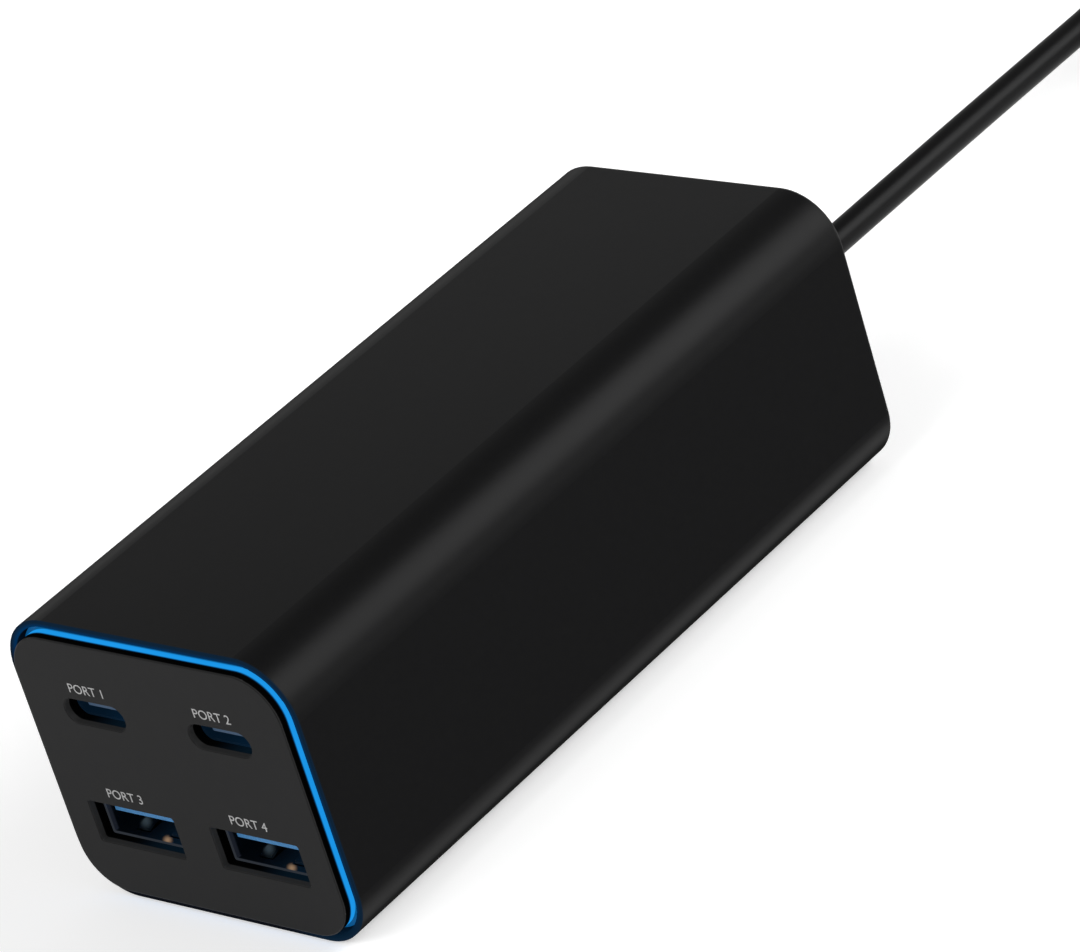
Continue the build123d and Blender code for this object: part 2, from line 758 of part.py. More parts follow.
def corner_radii(points):
    """Arc at each corner of a cord's route, taking the same share of its shorter run on both sides."""
    radii = []
    for before, corner, after in zip(points, points[1:], points[2:]):
        arriving = Vector(*corner) - Vector(*before)
        leaving = Vector(*after) - Vector(*corner)
        shorter = min(arriving.length, leaving.length)
        half_turn = math.radians(arriving.get_angle(leaving) / 2)
        radii.append(arc_share * shorter / math.tan(half_turn))
    return radii


# Cord from the strain relief to the hank, which lies behind the charger and in line with it
hank_base_z = tie_thickness + tie_gap
hank_height = hank_layers * hank_pitch
hank_top_layer_z = hank_base_z + hank_height - hank_pitch / 2
hank_near_y = back_y + hank_near
hank_far_y = hank_near_y + hank_run
hank_mid_y = hank_near_y + hank_run / 2
hank_left_x = hank_x - hank_fold_radius
hank_end_radius = hank_fold_radius + hank_pitch / 2
hank_waist = hank_columns * hank_pitch
cord_points = [
    (0, back_y + relief_length, cord_z),
    (0, back_y + route_straight, cord_z),
    (-route_drift, back_y + route_turn, cord_z - route_sag),
    (hank_left_x, back_y + route_join, hank_top_layer_z),
    (hank_left_x, hank_near_y - hank_stub, hank_top_layer_z),
]
cord_radii = corner_radii(cord_points)
with BuildPart() as cord_lead:
    with BuildLine() as cord_route:
        FilletPolyline(*cord_points, radius=cord_radii)
    cord_start = Vector(*cord_points[0])
    with BuildSketch(Plane(origin=cord_start, z_dir=Vector(*cord_points[1]) - cord_start)):
        Circle(cord_diameter / 2)
    sweep(path=cord_route.wires()[0])
cord_length = cord_route.wires()[0].length
cord_section = math.pi * cord_diameter**2 / 4
print("cord radii", [round(radius) for radius in cord_radii])
print("cord volume over section times length", cord_lead.part.volume / (cord_section * cord_length))
cord_lead.part.label = "cord_lead"
export_step(cord_lead.part, "parts/cord_lead.step")

# Hank of the spare length, drawn in at the tie, with a stub where each end of the cord leaves it
tail_z = hank_base_z + 1.5 * hank_pitch
with BuildPart() as cord_hank:
    with BuildSketch(Plane.XY.offset(hank_base_z)) as hank_plan:
        with Locations((hank_x, hank_mid_y)):
            Rectangle(hank_waist, hank_run)
        with Locations((hank_x, hank_near_y), (hank_x, hank_far_y)):
            Circle(hank_end_radius)
        waist_corners = hank_plan.vertices().filter_by(
            lambda corner: math.isclose(abs(corner.X - hank_x), hank_waist / 2, abs_tol=tie_gap)
        )
        fillet(waist_corners, hank_waist_fillet)
        with Locations((hank_x, hank_near_y), (hank_x, hank_far_y)):
            Circle(hank_end_radius - hank_columns / 2 * hank_pitch, mode=Mode.SUBTRACT)
    extrude(amount=hank_height)
    hank_rims = cord_hank.faces().filter_by(Axis.Z)
    chamfer([rim.outer_wire().edges() for rim in hank_rims], hank_edge)
    near_stub = (hank_left_x, hank_near_y - hank_stub, hank_top_layer_z)
    far_stub = (hank_left_x, hank_far_y, tail_z)
    for stub_start in (near_stub, far_stub):
        with BuildSketch(Plane(origin=stub_start, z_dir=(0, 1, 0))):
            Circle(cord_diameter / 2)
        extrude(amount=hank_stub)
cord_hank.part.label = "cord_hank"
export_step(cord_hank.part, "parts/cord_hank.step")

# Strap that ties the hank at its waist
tie_inner_width = hank_waist + 2 * tie_gap
tie_inner_height = hank_height + 2 * tie_gap
tie_centre = (hank_x, hank_mid_y, hank_base_z + hank_height / 2)
with BuildPart() as cord_tie:
    with BuildSketch(Plane(origin=tie_centre, z_dir=(0, 1, 0))):
        RectangleRounded(
            tie_inner_width + 2 * tie_thickness,
            tie_inner_height + 2 * tie_thickness,
            hank_edge + tie_gap + tie_thickness,
        )
        RectangleRounded(tie_inner_width, tie_inner_height, hank_edge + tie_gap, mode=Mode.SUBTRACT)
    extrude(amount=tie_width / 2, both=True)
cord_tie.part.label = "cord_tie"
export_step(cord_tie.part, "parts/cord_tie.step")

# Short straight tail from the hank to the plug
tail_y = hank_far_y + hank_stub
with BuildPart() as cord_tail:
    with BuildSketch(Plane(origin=(hank_left_x, tail_y, tail_z), z_dir=(0, 1, 0))):
        Circle(cord_diameter / 2)
    extrude(amount=tail_length)
cord_tail.part.label = "cord_tail"
export_step(cord_tail.part, "parts/cord_tail.step")

# Moulded two pin plug, lying flat, its pins pointing away from the charger
plug_tip_y = tail_y + tail_length
plug_rear_y = plug_tip_y + plug_relief_length
plug_face_y = plug_rear_y + plug_length
plug_plane = Plane(origin=(hank_left_x, plug_rear_y, 0), x_dir=(1, 0, 0), z_dir=(0, 0, 1))
plug_axis = Axis((hank_left_x, plug_rear_y, tail_z), (0, 1, 0))
plug_relief_plane = Plane(origin=(hank_left_x, plug_rear_y, tail_z), x_dir=(0, 1, 0), z_dir=(0, 0, 1))
pin_places = [(-pin_spacing / 2, 0), (pin_spacing / 2, 0)]
pin_plane = Plane(origin=(hank_left_x, plug_face_y, tail_z), x_dir=(1, 0, 0), z_dir=(0, 1, 0))
with BuildPart() as plug_body:
    with BuildSketch(plug_plane):
        with BuildLine():
            Polyline(
                (-plug_neck_width / 2, 0),
                (-plug_width / 2, plug_taper_length),
                (-plug_width / 2, plug_length),
                (plug_width / 2, plug_length),
                (plug_width / 2, plug_taper_length),
                (plug_neck_width / 2, 0),
                close=True,
            )
        make_face()
    extrude(amount=2 * tail_z)
    fillet(plug_body.edges().filter_by(Axis.Z), plug_corner)
    fillet(plug_body.faces().filter_by(Axis.Z).edges(), plug_edge)
    with BuildSketch(plug_relief_plane):
        with BuildLine():
            Polyline(
                (-plug_relief_length, 0),
                (-plug_relief_length, relief_tip_radius),
                (plug_corner, plug_relief_radius),
                (plug_corner, 0),
                close=True,
            )
        make_face()
    revolve(axis=plug_axis)
    with BuildSketch(pin_plane):
        with Locations(*pin_places):
            Circle(pin_sleeve_radius)
    extrude(amount=pin_sleeve_length)
    with BuildSketch(pin_plane.offset(pin_sleeve_length)):
        with Locations(*pin_places):
            Circle(pin_core_radius + seat_gap)
    extrude(amount=-(pin_sleeve_length + pin_embed), mode=Mode.SUBTRACT)
plug_body.part.label = "plug_body"
export_step(plug_body.part, "parts/plug_body.step")

for number, (pin_x, _) in enumerate(pin_places, start=1):
    pin_axis = Axis((hank_left_x + pin_x, plug_face_y, tail_z), (0, 1, 0))
    with BuildPart() as plug_pin:
        with BuildSketch(Plane(origin=pin_axis.position, x_dir=(0, 1, 0), z_dir=(0, 0, 1))):
            with BuildLine():
                Polyline(
                    (-pin_embed, 0),
                    (-pin_embed, pin_core_radius),
                    (pin_sleeve_length, pin_core_radius),
                    (pin_sleeve_length, pin_radius),
                    (pin_length, pin_radius),
                    (pin_length, 0),
                    close=True,
                )
            make_face()
        revolve(axis=pin_axis)
        fillet(plug_pin.faces().sort_by(Axis.Y)[-1].edges(), pin_tip_radius)
    plug_pin.part.label = f"plug_pin_{number}"
    export_step(plug_pin.part, f"parts/plug_pin_{number}.step")
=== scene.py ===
"""Looks of the multi port desktop charger: camera, mains cord, finishes, port markings and studio."""

import json
import math

import bmesh
import bpy
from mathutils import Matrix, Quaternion, Vector


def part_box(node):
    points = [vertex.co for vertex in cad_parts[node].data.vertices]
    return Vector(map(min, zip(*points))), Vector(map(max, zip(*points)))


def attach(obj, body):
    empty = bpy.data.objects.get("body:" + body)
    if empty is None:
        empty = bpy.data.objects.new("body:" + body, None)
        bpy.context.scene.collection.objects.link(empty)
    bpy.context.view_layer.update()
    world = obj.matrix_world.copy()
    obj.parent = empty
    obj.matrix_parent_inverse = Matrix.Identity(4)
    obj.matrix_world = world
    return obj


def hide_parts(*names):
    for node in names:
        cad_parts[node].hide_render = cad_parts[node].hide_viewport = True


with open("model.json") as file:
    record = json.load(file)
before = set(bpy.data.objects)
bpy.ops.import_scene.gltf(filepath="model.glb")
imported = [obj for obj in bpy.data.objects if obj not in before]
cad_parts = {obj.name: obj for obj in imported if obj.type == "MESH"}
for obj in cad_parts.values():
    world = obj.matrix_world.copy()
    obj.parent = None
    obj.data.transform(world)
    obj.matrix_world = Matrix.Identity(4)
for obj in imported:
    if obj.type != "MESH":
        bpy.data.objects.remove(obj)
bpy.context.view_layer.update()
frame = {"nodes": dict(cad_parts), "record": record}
scene = bpy.context.scene
scene.view_settings.view_transform = "Standard"
mm = 0.001
root = "root"


def place_in_scene(name, data):
    """New object that holds this data, at the origin of the frame."""
    made = bpy.data.objects.new(name, data)
    scene.collection.objects.link(made)
    return made


# Camera, fitted to the straight edges of the housing
aim_point = Vector((0.0, 0.014818, 0.018672))
camera_distance = 0.70817
camera_azimuth = math.radians(46.775)
camera_elevation = math.radians(27.896)
camera_roll = math.radians(-17.397)
camera_lens = 195.54


def photograph_camera():
    """Camera at the photograph's viewing angle."""
    towards_camera = Vector(
        (
            math.sin(camera_azimuth) * math.cos(camera_elevation),
            -math.cos(camera_azimuth) * math.cos(camera_elevation),
            math.sin(camera_elevation),
        )
    )
    data = bpy.data.cameras.new("photograph_camera")
    data.lens = camera_lens
    camera = place_in_scene("photograph_camera", data)
    camera.location = aim_point + camera_distance * towards_camera
    level = (-towards_camera).to_track_quat("-Z", "Y")
    camera.rotation_mode = "QUATERNION"
    camera.rotation_quaternion = level @ Quaternion((0, 0, 1), camera_roll)
    scene.camera = camera


# Mains cord: the lead's route, then the spare length in a hank of the size of its solid
cord_diameter = 4.0 * mm
lead_route = [
    (0.0, 0.0736, 0.0160),
    (0.0, 0.1026, 0.0160),
    (-0.0002, 0.1316, 0.0156),
    (-0.0003, 0.1390, 0.0155),
    (-0.0041, 0.1480, 0.01525),
    (-0.0041, 0.1566, 0.01525),
]
hank_low, hank_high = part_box("cord_hank")
hank_middle = (hank_low + hank_high) / 2
hank_half_width = (hank_high.x - hank_low.x) / 2
near_fold_y = hank_low.y + hank_half_width
far_fold_y = hank_high.y - hank_half_width
strand_pitch = 4.1 * mm
inner_fold_radius = hank_half_width - 1.5 * strand_pitch
waist_half_run = 9.0 * mm
fold_overlap = math.radians(30)
fold_step = math.radians(15)

# Part of a fold in which a strand rises, moves out or drops, so that no two strands cross
rise_window = (0.0, 0.35)
outward_window = (0.3, 0.65)
drop_window = (0.6, 0.95)

# Column from the inside and layer from the bottom of each turn, in winding order
hank_turns = [(0, 4), (0, 3), (0, 2), (0, 1), (1, 1), (1, 2), (1, 3)]

# Under the tie the first turn lies in the hollow between the strands below it, and returns beside them
nested_layer = 3 + math.sqrt(3) / 2
top_spots = [(0.0, nested_layer), (1.5, 3)]

# Ways into and out of the hank: millimetres right of the lead's end and past the fold's middle, and layer
tail_layer = 2
way_in = [(0.9, -1.5, 4), (7.4, 10.5, 4)]
way_out = [(2.6, -9.0, 3), (0.0, 2.0, 3), (0.0, 9.0, 2.7), (0.0, 15.0, tail_layer)]


def layer_z(layer):
    """Height of the middle of a layer, where layer 1 is the lowest."""
    return hank_low.z + (layer - 0.5) * strand_pitch


def waist_spot(turn, side):
    """Place of a strand in the section under the tie, as columns from the middle and layer."""
    if turn == 0:
        return top_spots[side > 0]
    column, layer = hank_turns[turn]
    return side * (column + 0.5), layer


def waist_run(turn, side):
    """Control points of one run through the tie: out on the left, back on the right."""
    columns, layer = waist_spot(turn, side)
    x = hank_middle.x + columns * strand_pitch
    return [
        (x, hank_middle.y + side * waist_half_run, layer_z(layer)),
        (x, hank_middle.y - side * waist_half_run, layer_z(layer)),
    ]


def eased(progress, window):
    """Share of a move that is done, from 0 before its window to 1 after it."""
    start, end = window
    share = min(max((progress - start) / (end - start), 0.0), 1.0)
    return share * share * (3 - 2 * share)


def fold_points(centre_y, start_angle, turn, next_turn):
    """Control points of one fold, clockwise from above, which leads from one turn to the next."""
    column, layer = hank_turns[turn]
    next_column, next_layer = hank_turns[next_turn]
    height_window = rise_window if next_layer > layer else drop_window
    sweep = math.pi + 2 * fold_overlap
    steps = round(sweep / fold_step)
    points = []
    for step in range(steps + 1):
        progress = step / steps
        angle = start_angle - progress * sweep
        at_column = column + (next_column - column) * eased(progress, outward_window)
        at_layer = layer + (next_layer - layer) * eased(progress, height_window)
        reach = (inner_fold_radius + at_column * strand_pitch) / math.cos(fold_step / 2)
        x = hank_middle.x + reach * math.cos(angle)
        y = centre_y + reach * math.sin(angle)
        points.append((x, y, layer_z(at_layer)))
    return points


def cord_points():
    """Control points of the whole cord, from the strain relief to the plug."""
    plug_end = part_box("cord_tail")[1].y
    left_x = lead_route[-1][0]
    last_turn = len(hank_turns) - 1
    points = list(lead_route)
    for right, past, layer in way_in:
        points.append((left_x + right * mm, near_fold_y + past * mm, layer_z(layer)))
    for turn in range(last_turn):
        points += waist_run(turn, -1)
        points += fold_points(far_fold_y, math.pi + fold_overlap, turn, turn)
        points += waist_run(turn, 1)
        points += fold_points(near_fold_y, fold_overlap, turn, turn + 1)
    points += waist_run(last_turn, -1)
    for right, past, layer in way_out:
        points.append((left_x + right * mm, far_fold_y + past * mm, layer_z(layer)))
    points.append((left_x, plug_end, layer_z(tail_layer)))
    return points


def mains_cord():
    """Round cord on one smooth line: the lead, every turn of the hank and the tail."""
    points = cord_points()
    data = bpy.data.curves.new("mains_cord", "CURVE")
    data.dimensions = "3D"
    data.bevel_depth = cord_diameter / 2
    data.bevel_resolution = 6
    data.resolution_u = 6
    data.use_fill_caps = True
    spline = data.splines.new("NURBS")
    spline.points.add(len(points) - 1)
    for control, point in zip(spline.points, points):
        control.co = (*point, 1.0)
    spline.order_u = 3
    spline.use_endpoint_u = True
    spline.use_smooth = True
    cord = place_in_scene("mains_cord", data)
    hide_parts("cord_lead", "cord_hank", "cord_tail")
    return cord


# Strap of the hank, drawn tight round the section of its strands
strap_thickness = 0.8 * mm
strap_slack = 0.05 * mm
strap_edge = 0.2 * mm
strap_sides = 144
strap_overlap = (20, 74)


def strap_outline(offset):
    """Points of a line drawn tight round the strands, this far outside them."""
    spots = [waist_spot(turn, side) for turn in range(len(hank_turns)) for side in (-1, 1)]
    spots.remove(waist_spot(len(hank_turns) - 1, 1))
    strands = []
    for columns, layer in spots:
        strands.append(Vector((hank_middle.x + columns * strand_pitch, 0, layer_z(layer))))
    points = []
    for side in range(strap_sides):
        angle = 2 * math.pi * side / strap_sides
        outward = Vector((math.cos(angle), 0, math.sin(angle)))
        outermost = max(strands, key=outward.dot)
        points.append(outermost + (cord_diameter / 2 + offset) * outward)
    return points


def add_band(mesh, inner, outer, low_y, high_y, closed):
    """Adds a band between two lines of points to the mesh, with flat ends unless it is closed."""
    rows = []
    for line, y in ((inner, low_y), (outer, low_y), (outer, high_y), (inner, high_y)):
        rows.append([mesh.verts.new((point.x, y, point.z)) for point in line])
    count = len(inner)
    for row, next_row in zip(rows, rows[1:] + rows[:1]):
        for index in range(count if closed else count - 1):
            after = (index + 1) % count
            mesh.faces.new((row[index], row[after], next_row[after], next_row[index]))
    if not closed:
        mesh.faces.new([row[0] for row in rows])
        mesh.faces.new([row[-1] for row in reversed(rows)])


def cord_strap():
    """Strap round the waist of the hank, with its free end laid over itself."""
    low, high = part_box("cord_tie")
    mesh = bmesh.new()
    inner = strap_outline(strap_slack)
    outer = strap_outline(strap_slack + strap_thickness)
    add_band(mesh, inner, outer, low.y, high.y, closed=True)
    start, end = strap_overlap
    lap_inner = strap_outline(2 * strap_slack + strap_thickness)[start:end]
    lap_outer = strap_outline(2 * strap_slack + 2 * strap_thickness)[start:end]
    add_band(mesh, lap_inner, lap_outer, low.y, high.y, closed=False)
    bmesh.ops.recalc_face_normals(mesh, faces=mesh.faces)
    data = bpy.data.meshes.new("cord_strap")
    mesh.to_mesh(data)
    mesh.free()
    strap = place_in_scene("cord_strap", data)
    rounding = strap.modifiers.new("rounded_edges", "BEVEL")
    rounding.width = strap_edge
    rounding.segments = 2
    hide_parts("cord_tie")
    return strap


# Port markings: generic words over the mouths, in the pale ink of such plates
marking_height = 1.3 * mm
marking_thickness = 0.02 * mm
c_marking_rise = 2.75 * mm
a_marking_rise = 4.1 * mm
marked_ports = [
    ("port_c1", c_marking_rise),
    ("port_c2", c_marking_rise),
    ("port_a1", a_marking_rise),
    ("port_a2", a_marking_rise),
]

# Height of a capital in the built-in font, as a share of its size
capital_share = 0.729


def port_marking(number, port, rise):
    """Raised print of one port's number, centred over its mouth."""
    low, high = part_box(f"{port}_shell")
    data = bpy.data.curves.new(f"{port}_marking", "FONT")
    data.body = f"PORT {number}"
    data.align_x = "CENTER"
    data.size = marking_height / capital_share
    data.extrude = marking_thickness
    marking = place_in_scene(f"{port}_marking", data)
    marking.location = ((low.x + high.x) / 2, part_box("front_plate")[0].y, (low.z + high.z) / 2 + rise)
    marking.rotation_euler = (math.pi / 2, 0, 0)
    return marking


def grey(value):
    """Neutral colour."""
    return (value, value, value, 1.0)


def colour(red, green, blue):
    """Colour of linear parts."""
    return (red, green, blue, 1.0)


class Wire:
    """Output socket of a node. Arithmetic on it adds Math nodes to its tree."""

    def __init__(self, nodes, socket):
        self.nodes = nodes
        self.socket = socket

    def __add__(self, other):
        return self.nodes.math("ADD", self, other)

    def __radd__(self, other):
        return self.nodes.math("ADD", other, self)

    def __sub__(self, other):
        return self.nodes.math("SUBTRACT", self, other)

    def __rsub__(self, other):
        return self.nodes.math("SUBTRACT", other, self)

    def __mul__(self, other):
        return self.nodes.math("MULTIPLY", self, other)

    def __rmul__(self, other):
        return self.nodes.math("MULTIPLY", other, self)

    def __pow__(self, other):
        return self.nodes.math("POWER", self, other)

    def __rpow__(self, other):
        return self.nodes.math("POWER", other, self)

    def __abs__(self):
        return self.nodes.math("ABSOLUTE", self, 0.0)


class Nodes:
    """Node tree of a finish or of the sky, with the methods that add its nodes."""

    def __init__(self, tree):
        self.tree = tree
        tree.nodes.clear()

    def node(self, kind, settings=None, sockets=None, output=0):
        """Adds a node, sets its settings, then sets or links its sockets, and gives one of its outputs."""
        made = self.tree.nodes.new(kind)
        for name, value in (settings or {}).items():
            setattr(made, name, value)
        for name, value in (sockets or {}).items():
            target = next(socket for socket in made.inputs if socket.identifier == name)
            if isinstance(value, Wire):
                self.tree.links.new(value.socket, target)
            else:
                target.default_value = value
        if output is None:
            return None
        if isinstance(output, int):
            return Wire(self, made.outputs[output])
        return Wire(self, next(socket for socket in made.outputs if socket.identifier == output))

    def math(self, operation, first, second):
        """One Math node on two values."""
        return self.node("ShaderNodeMath", {"operation": operation}, {"Value": first, "Value_001": second})

    def between(self, value, low, high):
        """Share of the way from low to high, smooth and held between 0 and 1."""
        settings = {"interpolation_type": "SMOOTHSTEP"}
        return self.node("ShaderNodeMapRange", settings, {"Value": value, "From Min": low, "From Max": high})

    def mix(self, share, first, second):
        """Colour between two others."""
        sockets = {"Factor_Float": share, "A_Color": first, "B_Color": second}
        return self.node("ShaderNodeMix", {"data_type": "RGBA"}, sockets, "Result_Color")


class Finish(Nodes):
    """One procedural material."""

    def __init__(self, name):
        self.material = bpy.data.materials.new(name)
        self.material.use_nodes = True
        super().__init__(self.material.node_tree)
        at = self.node("ShaderNodeTexCoord", output="Object")
        in_millimetres = {"Vector": at, "Scale": 1 / mm}
        self.place = self.node("ShaderNodeVectorMath", {"operation": "SCALE"}, in_millimetres)

    def along(self, axis, source=None):
        """One coordinate of the place in millimetres, or of another vector."""
        return self.node("ShaderNodeSeparateXYZ", None, {"Vector": source or self.place}, axis)

    def stretched(self, *factors):
        """Place with each coordinate multiplied by its factor."""
        return self.node(
            "ShaderNodeVectorMath", {"operation": "MULTIPLY"}, {"Vector": self.place, "Vector_001": factors}
        )

    def noise(self, scale, detail=2.0, source=None):
        """Soft noise from 0 to 1, with this many waves to the millimetre."""
        sockets = {"Vector": source or self.place, "Scale": scale, "Detail": detail}
        return self.node("ShaderNodeTexNoise", None, sockets)

    def facing(self):
        """Direction that the surface faces, in the object's own frame."""
        return self.node("ShaderNodeTexCoord", output="Normal")

    def bump(self, height, depth):
        """Normal of a surface whose height varies by this depth in millimetres."""
        return self.node("ShaderNodeBump", None, {"Height": height, "Distance": depth * mm})

    def shader(self, **sockets):
        """One surface shader. Socket names are written with underscores."""
        named = {name.replace("_", " "): value for name, value in sockets.items()}
        return self.node("ShaderNodeBsdfPrincipled", None, named)

    def blended(self, share, first, second):
        """Shader between two others."""
        return self.node("ShaderNodeMixShader", None, {"Fac": share, "Shader": first, "Shader_001": second})

    def ended(self, shader):
        """Ends the finish in a shader, and gives its material."""
        self.node("ShaderNodeOutputMaterial", None, {"Surface": shader}, output=None)
        return self.material

    def surface(self, **sockets):
        """Ends the finish in a single surface shader."""
        return self.ended(self.shader(**sockets))


# Sizes that the finishes follow, in millimetres
shell_low, shell_high = (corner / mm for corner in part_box("housing_shell"))
housing_half_width = (shell_high.x - shell_low.x) / 2
housing_half_height = (shell_high.z - shell_low.z) / 2
housing_corner = 7.4
lip_width = 0.85
plate_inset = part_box("front_plate")[0].x / mm - shell_low.x
plate_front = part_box("front_plate")[0].y / mm
ring_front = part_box("light_ring")[0].y / mm
socket_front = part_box("port_a1_shell")[0].y / mm
socket_column = 9.85

# Where the lip and the painted light of the ring on it fade, in millimetres from its front, across and up
lip_depth = (0.08, 0.34)
lip_lit_right = (8.0, 17.0)
lip_lit_top = (29.0, 37.0)
lip_dim_foot = (1.5, 8.0)

# Where painted light turns the walls of the mouths pale and painted shade then turns them black, in
# millimetres from the plate's front
mouth_wall = (0.05, 0.12)
deep_mouth = (0.78, 0.94)

# Painted glints in the larger sockets: place across and depth, then radius, in millimetres, and their slant
finger_glint = (-3.1, 2.35, 1.3)
contact_glint = (2.0, 0.4, 1.0)
glint_slant = 0.68


def mottled(finish, shade, spread, scale):
    """Colour that drifts by this share to either side of a shade."""
    dark = [part * (1 - spread) for part in shade[:3]] + [1.0]
    light = [part * (1 + spread) for part in shade[:3]] + [1.0]
    return finish.mix(finish.noise(scale), dark, light)


def outline_inset(finish):
    """Distance in from the housing's rounded outline, in millimetres, seen along the length."""
    past_x = abs(finish.along("X")) - (housing_half_width - housing_corner)
    past_z = abs(finish.along("Z") - housing_half_height) - (housing_half_height - housing_corner)
    corner_x = finish.math("MAXIMUM", past_x, 0.0)
    corner_z = finish.math("MAXIMUM", past_z, 0.0)
    return housing_corner - (corner_x * corner_x + corner_z * corner_z) ** 0.5


def in_upper_row(finish):
    """1 on the smaller sockets, which are the upper ones, and 0 on the larger ones."""
    return finish.between(finish.along("Z"), housing_half_height - 1.0, housing_half_height + 1.0)


def across_socket(finish):
    """Distance to the right of the middle of the nearest socket, in millimetres."""
    across = finish.along("X")
    return across - socket_column * finish.math("SIGN", across, 0.0)


def shell_plastic():
    """Black moulding, satin on top, with painted shade as a dull copy on its sides, a painted sheen at
    grazing angles that is darker underneath, and painted light from the ring on its lip.
    """
    finish = Finish("shell_plastic")
    grain = finish.noise(5.0, detail=3.0)
    handling = finish.noise(0.06)
    texture = finish.bump(grain, 0.0025)
    satin = finish.shader(
        Base_Color=mottled(finish, colour(0.0044, 0.0044, 0.0046), 0.12, 0.9),
        Roughness=0.35 + 0.05 * handling + 0.04 * grain,
        Specular_IOR_Level=0.07,
        Normal=texture,
    )
    # Dull copy for the upright sides, without gloss: painted shade in place of their dimmer reflection.
    matt_side_shade = finish.shader(
        Base_Color=mottled(finish, colour(0.0088, 0.0088, 0.0091), 0.08, 0.9),
        Roughness=0.8,
        Specular_IOR_Level=0.0,
        Normal=texture,
    )
    upwards = finish.along("Z", finish.facing())
    # Painted shade: the painted sheen below is darker where the surface faces down.
    underneath = 1 - finish.between(upwards, -0.45, -0.15)
    # Painted sheen: a plain, brighter copy of the moulding that takes over at grazing angles.
    sheen = finish.shader(
        Base_Color=finish.mix(underneath, mottled(finish, grey(0.047), 0.08, 0.9), grey(0.017)),
        Roughness=0.8,
        Specular_IOR_Level=0.0,
        Normal=texture,
    )
    upright = 1 - finish.between(abs(upwards), 0.0, 0.25)
    grazing = finish.between(finish.node("ShaderNodeLayerWeight", output="Facing"), 0.50, 0.78)
    moulding = finish.blended(grazing, finish.blended(0.85 * upright, satin, matt_side_shade), sheen)
    # The lip is near-black as painted shade beside the groove. Its emission is painted blue light from the
    # ring: strongest on the right and top, dimmer near the foot and faint elsewhere.
    towards_ring = finish.between(outline_inset(finish), 0.15, lip_width)
    height = finish.along("Z")
    lit_right = finish.between(finish.along("X"), *lip_lit_right)
    lit_top = finish.between(height, *lip_lit_top)
    lit_side = finish.math("MAXIMUM", lit_right, lit_top)
    above_foot = finish.between(height, *lip_dim_foot)
    painted_inner_ring_light = finish.mix(above_foot, colour(0.002, 0.012, 0.028), colour(0.0, 0.030, 0.105))
    painted_ring_light = finish.mix(towards_ring, colour(0.004, 0.016, 0.036), painted_inner_ring_light)
    lip = finish.shader(
        Base_Color=mottled(finish, grey(0.001), 0.12, 0.9),
        Roughness=0.6,
        Specular_IOR_Level=0.0,
        Emission_Color=finish.mix(lit_side, colour(0.004, 0.005, 0.008), painted_ring_light),
        Emission_Strength=1.0,
    )
    on_lip = 1 - finish.between(finish.along("Y") - shell_low.y, *lip_depth)
    return finish.ended(finish.blended(on_lip, moulding, lip))


def plate_plastic():
    """Charcoal satin plate, with painted light that makes it paler in its mouths, and painted shade that
    makes it dead black deep in them and beside the ring, with faint painted blue light deep on the right of
    each socket.
    """
    finish = Finish("plate_plastic")
    grain = finish.noise(7.0, detail=3.0)
    depth = finish.along("Y") - plate_front
    plain = mottled(finish, colour(0.0122, 0.0122, 0.0125), 0.08, 0.7)
    # Painted light on the walls of the mouths, brighter on walls that face right.
    faces_right = finish.between(finish.along("X", finish.facing()), 0.2, 0.8)
    painted_mouth_light = finish.mix(faces_right, grey(0.036), grey(0.056))
    face = finish.shader(
        Base_Color=finish.mix(finish.between(depth, *mouth_wall), plain, painted_mouth_light),
        Roughness=0.46 + 0.06 * grain,
        Specular_IOR_Level=0.095,
        Normal=finish.bump(grain, 0.0025),
    )
    # Painted shade: dead black deep in the mouths, with faint painted blue light on the right of each socket.
    deep = finish.between(depth, *deep_mouth)
    right_of_socket = finish.between(across_socket(finish), -3.0, 3.0)
    black = finish.shader(
        Base_Color=mottled(finish, grey(0.0014), 0.1, 0.7),
        Roughness=0.7,
        Specular_IOR_Level=0.0,
        Emission_Color=finish.mix(deep * right_of_socket, grey(0.0), colour(0.0012, 0.006, 0.012)),
        Emission_Strength=1.0,
    )
    # Painted shade on the plate's wall beside the ring.
    beside_ring = 1 - finish.between(outline_inset(finish), plate_inset, plate_inset + 0.08)
    return finish.ended(finish.blended(finish.math("MAXIMUM", deep, beside_ring), face, black))


def ring_diffuser():
    """Milky ring lit from behind, with painted shade that dims it at its front edge and deep in the groove.
    """
    finish = Finish("ring_diffuser")
    spread = finish.noise(0.12)
    depth = finish.along("Y") - ring_front
    # Painted shade: the glow dims at the front edge beside the plate and deep in the groove.
    lit = finish.between(depth, 0.0, 0.24) * (1 - 0.75 * finish.between(depth, 0.78, 1.05))
    light = finish.mix(spread, colour(0.008, 0.27, 0.72), colour(0.014, 0.32, 0.84))
    return finish.surface(
        Base_Color=mottled(finish, colour(0.004, 0.04, 0.10), 0.1, 0.4),
        Roughness=0.4,
        Specular_IOR_Level=0.1,
        Emission_Color=finish.mix(lit, colour(0.0, 0.008, 0.040), light),
        Emission_Strength=1.0,
    )


